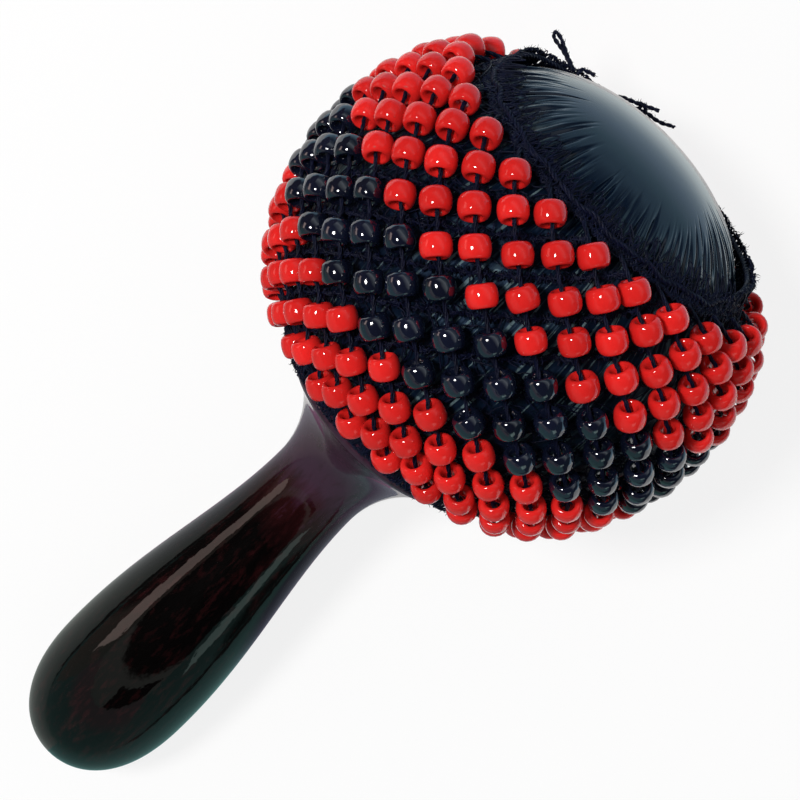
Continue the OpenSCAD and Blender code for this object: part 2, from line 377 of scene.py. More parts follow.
def strays(count, rng):
    """Loose threads that wander over the ball between the cords, few of them where the film shows."""
    hops, hop = 8, 1.9
    lines = []
    for _ in range(count):
        colat = rng.uniform(50, 134)
        turn = rng.uniform(0, 360)
        bare = colat < 84 and math.cos(math.radians(turn - BARE_TURN)) > 0.75
        if bare and rng.random() < 0.85:
            continue
        lift = sizes().ball_radius + rng.uniform(0.5, 2.6) * MM
        heading = rng.uniform(0, math.tau)
        bend = rng.gauss(0, 0.35)
        line = []
        for _ in range(hops):
            line.append(on_ball(lift, colat, turn))
            colat = min(136, max(48, colat + hop * math.cos(heading)))
            turn += hop * math.sin(heading) / math.sin(math.radians(colat))
            heading += bend
        lines.append(line)
    return lines


class Finish:
    """A material's node tree, with short ways to add nodes and links."""

    def __init__(self, name):
        self.material = bpy.data.materials.new(name)
        self.material.use_nodes = True
        self.tree = self.material.node_tree
        self.shader = self.tree.nodes["Principled BSDF"]

    def node(self, kind, links=None, **settings):
        made = self.tree.nodes.new("ShaderNode" + kind)
        for name, value in settings.items():
            setattr(made, name, value)
        for socket, source in (links or {}).items():
            self.join(source, made.inputs[socket])
        return made

    def join(self, source, target):
        if isinstance(source, bpy.types.Node):
            source = source.outputs[0]
        if isinstance(source, bpy.types.NodeSocket):
            self.tree.links.new(source, target)
        else:
            target.default_value = source

    def set(self, **inputs):
        for name, source in inputs.items():
            self.join(source, self.shader.inputs[name.replace("_", " ")])

    def math(self, operation, *values):
        return self.node("Math", dict(enumerate(values)), operation=operation)

    def times(self, *values):
        return self.math("MULTIPLY", *values)

    def plus(self, *values):
        return self.math("ADD", *values)

    def ramp(self, value, stops):
        made = self.node("ValToRGB", {0: value})
        elements = made.color_ramp.elements
        while len(elements) < len(stops):
            elements.new(0.5)
        for element, (place, colour) in zip(elements, stops):
            element.position = place
            element.color = (*colour, 1)
        return made

    def range(self, value, low, high, to_low, to_high):
        return self.node("MapRange", {0: value, 1: low, 2: high, 3: to_low, 4: to_high})

    def step(self, value, low, high):
        """A soft step from 0 at low to 1 at high."""
        return self.node("MapRange", {0: value, 1: low, 2: high}, interpolation_type="SMOOTHSTEP")

    def noise(self, vector, scale, detail=3.0, roughness=0.5):
        return self.node("TexNoise", {"Vector": vector, "Scale": scale, "Detail": detail,
                                      "Roughness": roughness})

    def grained(self, place, scale, detail, roughness=0.5):
        """Noise with its own scale along each axis."""
        return self.noise(self.node("Mapping", {"Vector": place, "Scale": scale}), 1.0, detail, roughness)

    def bump(self, height, distance, strength=1.0, below=None):
        links = {"Height": height, "Distance": distance, "Strength": strength}
        if below:
            links["Normal"] = below
        return self.node("Bump", links)

    def instrument_place(self):
        """Object coordinates turned to the instrument's own frame, dome up along Z."""
        back = laid_down().inverted()
        place = self.node("TexCoord").outputs["Object"]
        return self.node("Mapping", {"Vector": place, "Location": back.translation,
                                     "Rotation": back.to_euler()})


def lacquered_wood():
    """Stained wood, nearly black with red-brown mottling, under a gloss lacquer with faint dimples."""
    finish = Finish("lacquered_wood")
    c = colours()
    place = finish.instrument_place()
    grain = finish.grained(place, (420, 420, 26), 5.0, 0.62)
    patch = finish.grained(place, (60, 60, 16), 2.0)
    spots = finish.grained(place, (620, 620, 190), 3.0, 0.6)
    z = finish.node("SeparateXYZ", {0: place}).outputs["Z"]
    neck = finish.range(z, -0.102, -0.077, 0.0, 0.62)
    streaks = finish.times(grain, patch)
    shy = finish.range(z, -0.11, -0.08, 0.44, 0.12)
    mottle = finish.times(finish.step(spots, 0.46, 0.68), finish.times(patch, shy))
    red = finish.plus(finish.plus(streaks, mottle), neck)
    colour = finish.ramp(red, [(0.27, c.wood_dark), (0.63, c.wood_red), (0.86, c.wood_neck)])
    pores = finish.grained(place, (1500, 1500, 60), 2.0)
    finish.set(Base_Color=colour, Roughness=finish.range(pores, 0.3, 0.7, 0.32, 0.48),
               IOR=1.5, Coat_Weight=1.0, Coat_Roughness=0.04, Coat_IOR=1.5, Specular_IOR_Level=0.02)
    finish.set(Normal=finish.bump(pores, 0.00006, 0.4))
    ripple = finish.grained(place, (45, 45, 20), 1.0)
    dimples = finish.grained(place, (520, 520, 170), 2.0, 0.6)
    swell = finish.bump(ripple, 0.00012, 0.5)
    finish.set(Coat_Normal=finish.bump(dimples, 0.00004, 0.9, swell))
    return finish.material


def gloss_skin():
    """Black film, smooth on the dome, creased where the net gathers it, and dull under the net, with
    painted highlights on the crease crests, painted glints in patches under the net and painted shade on
    its reflection under the net.
    """
    finish = Finish("gloss_skin")
    c = colours()
    place = finish.instrument_place()
    unit = finish.node("VectorMath", {0: place}, operation="NORMALIZE")
    parts = finish.node("SeparateXYZ", {0: unit})
    colat = finish.math("ARCCOSINE", parts.outputs["Z"])
    flat = finish.node("CombineXYZ", {0: parts.outputs["X"], 1: parts.outputs["Y"]})
    heading = finish.node("VectorMath", {0: flat}, operation="NORMALIZE")
    slow = finish.node("CombineXYZ", {2: finish.times(colat, 1.8)})
    wide = finish.node("VectorMath", {0: heading, "Scale": 60.0}, operation="SCALE")
    crease = finish.noise(finish.node("VectorMath", {0: wide, 1: slow}, operation="ADD"), 1.0, 1.5)
    gathered = finish.step(colat, 0.56, 0.80)
    # Painted highlights and glints: lighter grey painted on the crease crests, at half strength on the
    # folds just above the net (0.60 to 0.74 rad) and at full strength in noise patches under the net.
    bare = finish.step(finish.noise(place, 250.0, 1.0), 0.47, 0.57)
    painted_glint_zone = finish.times(bare, finish.step(colat, 0.86, 0.92))
    painted_glint_zone = finish.plus(painted_glint_zone, finish.times(finish.step(colat, 0.60, 0.74), 0.5))
    painted_glint_mask = finish.times(finish.step(crease, 0.55, 0.63), painted_glint_zone)
    colour = finish.ramp(painted_glint_mask, [(0.0, c.gloss_black), (0.5, c.fold_highlight_grey), (1.0, c.net_glint_grey)])
    smear = finish.noise(place, 55.0, 3.0)
    under = finish.step(colat, 0.80, 0.96)
    rough = finish.range(smear, 0.3, 0.7, 0.08, 0.16)
    rough = finish.plus(rough, finish.times(under, 0.36))
    # Painted shade: the film's reflection is dimmed and tinted navy under the net, where the threads shade
    # it.
    net_reflection_shade = finish.ramp(under, [(0.0, (1, 1, 1)), (1.0, (0.16, 0.26, 0.42))])
    finish.set(Base_Color=colour, Roughness=rough, IOR=1.5, Specular_Tint=net_reflection_shade)
    height = finish.times(finish.math("SUBTRACT", crease, 0.5), gathered)
    crumple = finish.times(finish.noise(place, 180.0, 1.0), under)
    finish.set(Normal=finish.bump(crumple, 0.0020, 1.0, finish.bump(height, 0.0003, 1.0)))
    return finish.material


def bead_plastic(name, colour, lift, ior):
    """Moulded plastic whose shade differs a little from bead to bead."""
    finish = Finish(name)
    tone = finish.node("Attribute", attribute_name="tone").outputs["Fac"]
    place = finish.node("TexCoord").outputs["Object"]
    swirl = finish.noise(place, 420.0, 3.0, 0.6)
    dark = Vector(colour) * 0.82
    light = Vector(colour) * lift
    shade = finish.plus(finish.times(tone, 0.6), finish.times(swirl, 0.4))
    finish.set(Base_Color=finish.ramp(shade, [(0.25, dark), (0.8, light)]), IOR=ior,
               Roughness=finish.range(swirl, 0.3, 0.7, 0.05, 0.10))
    wobble = finish.noise(place, 330.0, 1.5)
    finish.set(Normal=finish.bump(wobble, 0.00022, 0.7))
    return finish.material


def crochet_thread():
    """Navy-black thread with fine fibres, one material for the whole net."""
    made = bpy.data.materials.get("crochet_thread")
    if made:
        return made
    finish = Finish("crochet_thread")
    c = colours()
    place = finish.node("TexCoord").outputs["Object"]
    tint = finish.noise(place, 380.0, 3.0, 0.6)
    fibre = finish.noise(place, 5200.0, 2.0, 0.6)
    mixed = finish.plus(finish.times(tint, 0.65), finish.times(fibre, 0.35))
    dark = Vector(c.thread) * 0.45
    light = Vector(c.thread) * 2.1
    finish.set(Base_Color=finish.ramp(mixed, [(0.3, dark), (0.68, light)]),
               Roughness=finish.range(fibre, 0.3, 0.7, 0.42, 0.7),
               Specular_IOR_Level=0.22)
    finish.set(Normal=finish.bump(fibre, 0.00012, 0.8))
    return finish.material


def zinc_steel():
    """Zinc-plated steel with a faint spangle and turning marks."""
    finish = Finish("zinc_steel")
    c = colours()
    place = finish.instrument_place()
    turning = finish.grained(place, (300, 300, 4000), 3.0)
    spangle = finish.noise(place, 700.0, 2.0)
    finish.set(Base_Color=finish.ramp(spangle, [(0.3, Vector(c.steel) * 0.8), (0.7, Vector(c.steel))]),
               Metallic=1.0, Roughness=finish.range(turning, 0.3, 0.7, 0.25, 0.42))
    finish.set(Normal=finish.bump(turning, 0.00003, 0.6))
    return finish.material


class CABASA_OT_stage(bpy.types.Operator):
    """Sets the camera, the white floor, the lamps and the dark cards seen in the gloss"""

    bl_idname = "cabasa.stage"
    bl_label = "Set the stage"

    def execute(self, context):
        scene = context.scene
        scene.view_settings.view_transform = "Standard"
        camera = bpy.data.cameras.new("camera")
        camera.lens = 99
        camera.sensor_width = 36
        eye = bpy.data.objects.new("camera", camera)
        eye.location = (0.095745, 0.025036, 0.667598)
        eye.rotation_euler = [math.radians(a) for a in (-6.4581, 3.0457, -45.8502)]
        scene.collection.objects.link(eye)
        scene.camera = eye
        self.light_room(scene)
        self.lay_floor(scene)
        self.hang_cards(scene)
        lamps = {
            "key": ("DISK", (0.24, 0.24), (-0.063, 0.406, 1.20), 9.6, (1, 0.98, 0.96)),
            "left_box": ("RECTANGLE", (0.84, 0.44), (-0.70, 1.52, 0.77), 1.5, (1, 0.76, 0.69)),
            "right_box": ("RECTANGLE", (0.7, 0.36), (-0.54, -1.53, 0.829), 0.56, (0.75, 1, 0.93)),
        }
        for name, (shape, size, place, watts, colour) in lamps.items():
            self.add_lamp(scene, name, shape, size, place, watts, colour)
        return {"FINISHED"}

    def light_room(self, scene):
        world = bpy.data.worlds.new("room")
        scene.world = world
        world.use_nodes = True
        tree = world.node_tree
        room = tree.nodes["Background"]
        room.inputs["Color"].default_value = (0.92, 0.97, 1, 1)
        room.inputs["Strength"].default_value = 0.36
        white = tree.nodes.new("ShaderNodeBackground")
        white.inputs["Color"].default_value = (0.95, 1, 1, 1)
        mix = tree.nodes.new("ShaderNodeMixShader")
        tree.links.new(self.seen_rays(tree), mix.inputs[0])
        tree.links.new(room.outputs[0], mix.inputs[1])
        tree.links.new(white.outputs[0], mix.inputs[2])
        tree.links.new(mix.outputs[0], tree.nodes["World Output"].inputs["Surface"])

    def seen_rays(self, tree):
        """1 for rays that show the background: to the camera, in gloss or through glass."""
        path = tree.nodes.new("ShaderNodeLightPath")
        total = path.outputs["Is Camera Ray"]
        for name in ("Is Glossy Ray", "Is Transmission Ray"):
            both = tree.nodes.new("ShaderNodeMath")
            both.operation = "MAXIMUM"
            tree.links.new(total, both.inputs[0])
            tree.links.new(path.outputs[name], both.inputs[1])
            total = both.outputs[0]
        return total

    def lay_floor(self, scene):
        bm = bmesh.new()
        bmesh.ops.create_grid(bm, x_segments=1, y_segments=1, size=9)
        finish = Finish("white_floor")
        finish.set(Base_Color=(0.9, 0.9, 0.9, 1), Roughness=0.8, Specular_IOR_Level=0.1)
        tree = finish.tree
        glow = finish.node("Emission", {"Color": (1, 1, 1, 1), "Strength": 1.03})
        path = finish.node("LightPath")
        seen = finish.times(self.seen_rays(tree), 0.3)
        direct = finish.times(path.outputs["Is Camera Ray"], 0.5)
        share = finish.plus(seen, direct)
        mix = finish.node("MixShader", {0: share, 1: finish.shader.outputs[0], 2: glow})
        finish.join(mix, tree.nodes["Material Output"].inputs["Surface"])
        self.add_stage(scene, "floor", bm, finish.material)

    def hang_cards(self, scene):
        """Dim cards that only the gloss sees: overhead, at the sides and ends, and on the floor."""
        flat = Matrix.Identity(3)
        side = Matrix.Rotation(math.radians(90), 3, "X")
        end = Matrix.Rotation(math.radians(90), 3, "Y")
        dim, dusk_blue = (0.017, 0.014, 0.015), (0.29, 0.49, 0.64)
        teal, plum = (0.10, 0.20, 0.19), (0.25, 0.12, 0.20)
        above = [(-1.9, (0.20, 0.24, 0.22)), (-1.42, (0.26, 0.27, 0.25)), (-1.34, dim), (0.5, dim),
                 (1.2, (0.34, 0.38, 0.40)), (1.6, (0.5, 0.55, 0.58)), (1.9, (0.2, 0.24, 0.26))]
        left = [(-1.9, (0.16, 0.18, 0.16)), (-0.96, (0.19, 0.15, 0.13)), (-0.86, (0.04, 0.03, 0.03))]
        right = [(-1.9, teal), (-0.78, teal), (-0.68, (0.02, 0.03, 0.03))]
        butt = [(0.8, teal), (1.2, (0.20, 0.17, 0.18))]
        behind = [(-0.55, teal), (-0.35, (0.03, 0.03, 0.03))]
        under_left = [(-0.5, (0.11, 0.21, 0.19)), (-0.1, (0.32, 0.35, 0.33)),
                      (-0.03, (0.36, 0.36, 0.40))]
        under_right = [(-0.5, (0.10, 0.22, 0.20)), (-0.085, (0.14, 0.29, 0.28)),
                       (-0.065, (0.12, 0.13, 0.18)), (-0.035, (0.21, 0.23, 0.28))]
        dusk = [(0.0, dusk_blue), (0.35, (0.16, 0.26, 0.34)), (0.8, (0.03, 0.045, 0.06)),
                (1.6, (0.2, 0.24, 0.26))]
        ahead = [(0.15, (0.95, 1.05, 1.05)), (0.17, (1.05, 1.2, 1.25)), (0.205, (0.62, 0.82, 0.98)),
                 (0.24, (0.5, 0.71, 0.92)), (0.35, (0.35, 0.59, 0.74)), (0.62, dusk_blue)]
        places = {
            "card_overhead": ((0, 0, 1.6), (3.8, 3.8, 1), flat, "X", above),
            "card_corner": ((-1.7, -0.95, 1.59), (0.36, 1.4, 1), flat, "X", [(0, dim)]),
            "card_left": ((0, 1.9, 0.8), (3.8, 1, 1.6), side, "X", left),
            "card_right": ((0, -1.9, 0.8), (3.8, 1, 1.6), side, "X", right),
            "card_butt": ((-1.9, 0, 0.8), (1, 3.8, 1.6), end, "Z", butt),
            "card_behind": ((-0.96, 0, 0.001), (1.88, 3.8, 1), flat, "X", behind),
            "card_under_left": ((-0.96, 0.16, 0.0015), (1.88, 0.32, 1), flat, "X", under_left),
            "card_under_right": ((-0.96, -0.16, 0.0015), (1.88, 0.32, 1), flat, "X", under_right),
            "card_dome": ((1.9, 0, 0.8), (1, 3.8, 1.6), end, "Z", dusk),
            "card_ahead": ((1.025, 0, 0.001), (1.75, 3.8, 1), flat, "X", ahead),
            "card_neck": ((-0.05, 0, 0.002), (0.06, 0.052, 1), flat, "X", [(0, plum)]),
        }
        for name, (place, size, turn, axis, glow) in places.items():
            bm = bmesh.new()
            bmesh.ops.create_grid(bm, x_segments=1, y_segments=1, size=0.5)
            bmesh.ops.rotate(bm, matrix=turn, verts=bm.verts)
            bmesh.ops.scale(bm, vec=size, verts=bm.verts)
            bmesh.ops.translate(bm, vec=place, verts=bm.verts)
            card = self.add_stage(scene, name, bm, self.card_glow(name, axis, glow))
            card.visible_camera = False
            card.visible_diffuse = False
            card.visible_shadow = False

    def card_glow(self, name, axis, glow):
        """The card's own dim light, in one colour or in colours that change along an axis."""
        finish = Finish(name)
        finish.set(Base_Color=(0, 0, 0, 1), Specular_IOR_Level=0.0, Emission_Strength=1.0)
        if len(glow) == 1:
            finish.set(Emission_Color=(*glow[0][1], 1))
            return finish.material
        first, last = glow[0][0], glow[-1][0]
        along = finish.node("SeparateXYZ", {0: finish.node("TexCoord").outputs["Object"]}).outputs[axis]
        stops = [((place - first) / (last - first), colour) for place, colour in glow]
        finish.set(Emission_Color=finish.ramp(finish.range(along, first, last, 0.0, 1.0), stops))
        return finish.material

    def add_stage(self, scene, name, bm, material):
        mesh = bpy.data.meshes.new(name)
        bm.to_mesh(mesh)
        bm.free()
        mesh.materials.append(material)
        made = bpy.data.objects.new(name, mesh)
        scene.collection.objects.link(made)
        return made

    def add_lamp(self, scene, name, shape, size, place, watts, colour):
        lamp = bpy.data.lights.new(name, "AREA")
        lamp.shape = shape
        lamp.size, lamp.size_y = size
        lamp.energy = watts
        lamp.color = colour
        made = bpy.data.objects.new(name, lamp)
        made.location = place
        aim = Vector((0, 0, 0.06)) - Vector(place)
        made.rotation_euler = aim.to_track_quat("-Z", "Y").to_euler()
        made.visible_camera = False
        scene.collection.objects.link(made)


class CABASA_OT_handle(bpy.types.Operator):
    """Turns the lacquered handle, from its flare at the ball to its butt"""

    bl_idname = "cabasa.handle"
    bl_label = "Turn the handle"

    def execute(self, context):
        bm = turned(self.profile(), 128)
        add_piece("turned_handle", bm, lacquered_wood(), "handle_and_ball", "handle_wood", "handle")
        return {"FINISHED"}

    def profile(self):
        """(radius, height) from the tenon's end, over the flare and the grip, to the butt."""
        s = sizes()
        waist, swell, butt, flare = 84.5 * MM, 172 * MM, 207.5 * MM, 32 * MM
        fullness = 2.35
        centre = Vector((s.waist_radius + flare, -waist))
        seat = s.ball_radius + 0.05 * MM
        lip = (centre.length - flare - seat) / 2
        middle = centre * ((seat + lip) / centre.length)
        shoulder = -math.sqrt(seat ** 2 - TENON_RADIUS ** 2)
        line = [(0.0, TENON_END), (TENON_RADIUS, TENON_END), (TENON_RADIUS, shoulder)]
        inward = math.atan2(-middle.y, middle.x)
        start = -math.acos(-shoulder / seat)
        end = -(math.pi / 2 - inward)
        for i in range(1, 10):
            t = start + (end - start) * i / 10
            line.append((-seat * math.sin(t), -seat * math.cos(t)))
        start = math.atan2(-middle.y, -middle.x)
        end = math.atan2(middle.y, middle.x)
        for i in range(13):
            t = start + (end - start) * i / 12
            line.append((middle.x + lip * math.cos(t), middle.y + lip * math.sin(t)))
        start = math.atan2(middle.y - centre.y, middle.x - centre.x)
        for i in range(1, 25):
            t = start + (math.pi - start) * i / 24
            line.append((centre.x + flare * math.cos(t), centre.y + flare * math.sin(t)))
        for i in range(1, 40):
            u = i / 40
            share = math.sin(math.pi / 2 * u ** 0.9) ** 2
            r = s.waist_radius + (s.swell_radius - s.waist_radius) * share
            line.append((r, -waist - u * (swell - waist)))
        for i in range(33):
            u = math.sin(math.pi / 2 * i / 32)
            r = s.swell_radius * max(0.0, 1 - u ** fullness) ** (1 / fullness)
            line.append((r, -swell - u * (butt - swell)))
        return line


class CABASA_OT_ball(bpy.types.Operator):
    """Moulds the ball's two half shells and gathers the film on the dome in folds"""

    bl_idname = "cabasa.ball"
    bl_label = "Mould the ball"

    def execute(self, context):
        skin = gloss_skin()
        s = sizes()
        inner = s.ball_radius - s.ball_wall
        lap = s.ball_radius - s.ball_wall / 2
        upper = self.arc(s.ball_radius, 0, FOLDS_FROM, 7) + self.arc(s.ball_radius, FOLDS_FROM, 62, 55)[1:]
        upper += self.arc(s.ball_radius, 62, 90, 10)[1:] + [(lap, 0.0), (lap, -LAP_DEPTH)]
        upper += [(math.sqrt(inner ** 2 - LAP_DEPTH ** 2), -LAP_DEPTH)] + self.arc(inner, 90, 0, 9)
        dome = turned(upper, 160)
        rounds = [e for e in dome.edges if abs(e.verts[0].co.z - e.verts[1].co.z) < 1e-7]
        bmesh.ops.subdivide_edges(dome, edges=rounds, cuts=5, use_grid_fill=True)
        self.gather(dome)
        add_piece("dome_shell", dome, skin, "handle_and_ball", "ball_gloss", "upper_shell")
        hole = math.degrees(math.asin(HOLE_RADIUS / s.ball_radius))
        inner_hole = math.degrees(math.asin(HOLE_RADIUS / inner))
        lower = self.arc(s.ball_radius, 90, 180 - hole, 40) + self.arc(inner, 180 - inner_hole, 95, 24)
        lower += [(lap, -LAP_RECESS), (lap, 0.0), (s.ball_radius, 0.0)]
        bowl = turned(lower, 160)
        add_piece("handle_shell", bowl, skin, "handle_and_ball", "ball_gloss", "lower_shell")
        return {"FINISHED"}

    def wall(self, radius, colat):
        """Distance of a wall from the ball's centre, a little flattened at the top of the dome."""
        return radius - DOME_FLAT * max(0, 1 - (colat / DOME_EDGE) ** 2) ** 2

    def arc(self, radius, start, end, steps):
        """(radius, height) along a wall, from one angle from the top to another."""
        line = []
        for i in range(steps + 1):
            colat = start + (end - start) * i / steps
            r = self.wall(radius, colat)
            line.append((r * math.sin(math.radians(colat)), r * math.cos(math.radians(colat))))
        return line

    def gather(self, bm):
        """Draws the film in between folds that start on the dome and deepen towards the net."""
        for v in bm.verts:
            distance = v.co.length
            colat = math.degrees(v.co.angle((0, 0, 1)))
            inside = distance < self.wall(sizes().ball_radius, colat) - 1 * MM
            if inside or not FOLDS_FROM < colat < FOLDS_TO:
                continue
            way = Vector((v.co.x, v.co.y, 0)).normalized()
            early = max(0, way.dot(EARLY_FOLDS)) ** 12
            shift = 4 * max(0, way.dot(LATE_FOLDS)) ** 10 - 7 * early
            tip = FOLD_TIP + shift + 9 * noise.noise(way * 30 + Vector((0, 0, 40)))
            gathered = soft_step((colat - tip) / 19) * soft_step((FOLDS_TO - colat) / 8)
            wide = noise.noise(way * 27 + Vector((0, 0, colat / 28)))
            close = noise.noise(way * 58 + Vector((0, 0, colat / 20)))
            dip = soft_step((0.27 - wide - 0.5 * close * soft_step((colat - 34) / 12)) / 0.5)
            depth = (FOLD_DEPTH - EARLY_EASE * early) * MM
            v.co *= 1 - depth * gathered * dip / distance


class CABASA_OT_beads(bpy.types.Operator):
    """Strings the rows of red and black beads, each a little out of line as on thread"""

    bl_idname = "cabasa.beads"
    bl_label = "String the beads"

    def execute(self, context):
        c = colours()
        rng = random.Random(sizes().bead_seed)
        bead = self.one_bead()
        finishes = {
            "red": bead_plastic("red_bead_plastic", c.bead_red, 1.08, 1.5),
            "black": bead_plastic("black_bead_plastic", c.bead_black, 1.4, 2.0),
        }
        for number in range(1, ROWS + 1):
            kind = "black" if number in BLACK_ROWS else "red"
            self.string_row(number, kind, bead, finishes[kind], rng)
        bpy.data.meshes.remove(bead)
        return {"FINISHED"}

    def one_bead(self):
        """A barrel bead about the Z axis with a round-edged hole."""
        s = sizes()
        r = s.bead_diameter / 2
        h = s.bead_length / 2
        b = s.bead_bore / 2
        ring = [(1.06 * r, 0.25 * h), (0.98 * r, 0.83 * h), (0.71 * r, 1.14 * h), (1.1 * b, 0.9 * h)]
        ring += [(p[0], -p[1]) for p in reversed(ring)]
        bm = turned(ring + ring[:1], 10)
        mesh = bpy.data.meshes.new("bead")
        bm.to_mesh(mesh)
        bm.free()
        return mesh

    def string_row(self, number, kind, bead, finish, rng):
        """One row round the ball: each bead slips, leans and differs in shade a little."""
        bm = bmesh.new()
        tone = bm.verts.layers.float.new("tone")
        row = number - 1
        for strand in range(STRANDS):
            along = strand_point(strand, row + 0.5, 1) - strand_point(strand, row - 0.5, 1)
            centre = strand_point(strand, row, shell_radius(row))
            out = centre.normalized()
            along = (along - out * along.dot(out)).normalized()
            across = out.cross(along)
            slip = along * rng.gauss(0, 0.35 * MM) + across * rng.gauss(0, 0.2 * MM)
            slip -= out * abs(rng.gauss(0, 0.15 * MM))
            swing = Matrix.Rotation(rng.gauss(0, 0.07), 3, out)
            lean = swing @ Matrix.Rotation(rng.gauss(0, 0.05), 3, across)
            turn = lean @ Matrix((out, along.cross(out), along)).transposed()
            spin = Matrix.Rotation(rng.uniform(0, 6.28), 4, "Z")
            grow = Matrix.Scale(rng.uniform(1.0, 1.05), 4)
            matrix = Matrix.Translation(centre + slip) @ turn.to_4x4() @ spin @ grow
            first = len(bm.verts)
            bm.from_mesh(bead)
            bm.verts.ensure_lookup_table()
            fresh = bm.verts[first:]
            bmesh.ops.transform(bm, matrix=matrix, verts=fresh)
            shade = rng.random()
            for v in fresh:
                v[tone] = shade
        piece = add_piece(f"{kind}_beads_{number:02d}", bm, finish, "bead_net", f"{kind}_bead",
                          f"{kind}_bead_row_{number:02d}")
        rounding = piece.modifiers.new("rounding", "SUBSURF")
        rounding.levels = 1
        rounding.render_levels = 1


class CABASA_OT_strands(bpy.types.Operator):
    """Runs the three-ply strands through their beads and hooks them over both edgings"""

    bl_idname = "cabasa.strands"
    bl_label = "Run the strands"

    def execute(self, context):
        bm = bmesh.new()
        rng = random.Random(STRAND_SEED)
        per_row = 7
        lines = []
        for strand in range(STRANDS):
            path = []
            for i in range((ROWS + 1) * per_row + 1):
                k = -1 + i / per_row
                path.append(strand_point(strand, k, self.lift(k)))
            lines += twisted(path, 3, 0.36 * MM, 8 * MM, phase=rng.uniform(0, 6))
        sweep(bm, lines, STRAND_PLY)
        loose = strays(1300, rng)
        sweep(bm, loose, STRAY)
        sweep(bm, fuzz(lines + loose, 1300, 1.8 * MM, rng), FIBRE, taper=True)
        add_piece("bead_threads", bm, crochet_thread(), "bead_net", "net_thread", "bead_strands")
        return {"FINISHED"}

    def lift(self, k):
        """Distance of a strand from the ball's centre: high in the beads, low between them."""
        s = sizes()
        middle = shell_radius(k) - STRAND_DIP
        if -0.5 <= k <= ROWS - 0.5:
            return middle + STRAND_DIP * (1 + math.cos(math.tau * k)) / 2
        end = s.ball_radius + 2.3 * MM
        share = (-0.5 - k if k < 0 else k - ROWS + 0.5) / 0.5
        return middle + (end - middle) * share


class CABASA_OT_cords(bpy.types.Operator):
    """Lays the crocheted cords that cross under the strands"""

    bl_idname = "cabasa.cords"
    bl_label = "Lay the cords"

    def execute(self, context):
        bm = bmesh.new()
        rng = random.Random(CORD_SEED)
        per_row = 16
        cores, stitches = [], []
        for cord in range(STRANDS):
            path = [self.point(cord, -0.5 + i / per_row) for i in range(ROWS * per_row + 1)]
            cores += twisted(path[::2], 2, 0.3 * MM, 6 * MM, phase=rng.uniform(0, 6))
            swing = rng.uniform(0, 6)
            stitches.append(zigzag(path, 1.6 * MM, 2.5 * MM, phase=swing))
            swing += math.pi * 0.9
            stitches.append(zigzag(path, 1.3 * MM, 2.2 * MM, phase=swing, lift=0.25 * MM))
        sweep(bm, cores, CORD_PLY)
        sweep(bm, stitches, CORD_STITCH)
        sweep(bm, strays(420, rng), THIN_STRAY)
        sweep(bm, fuzz(stitches, 1500, 2.4 * MM, rng), FIBRE, taper=True)
        add_piece("crochet_cords", bm, crochet_thread(), "bead_net", "net_thread", "net_cords")
        return {"FINISHED"}

    def point(self, cord, k):
        """A point of a cord: low beside the beads of a row, high where it passes under a strand."""
        high = shell_radius(k) - STRAND_DIP - CORD_DROP
        low = sizes().ball_radius + CORD_LIFT
        lift = (high + low) / 2 - (high - low) / 2 * math.cos(math.tau * k)
        turn = NET_TURN + cord * STEP + STRAND_TURN / 2 + ROW_SHIFT * (k - 0.5)
        return on_ball(lift, row_angle(k), turn)


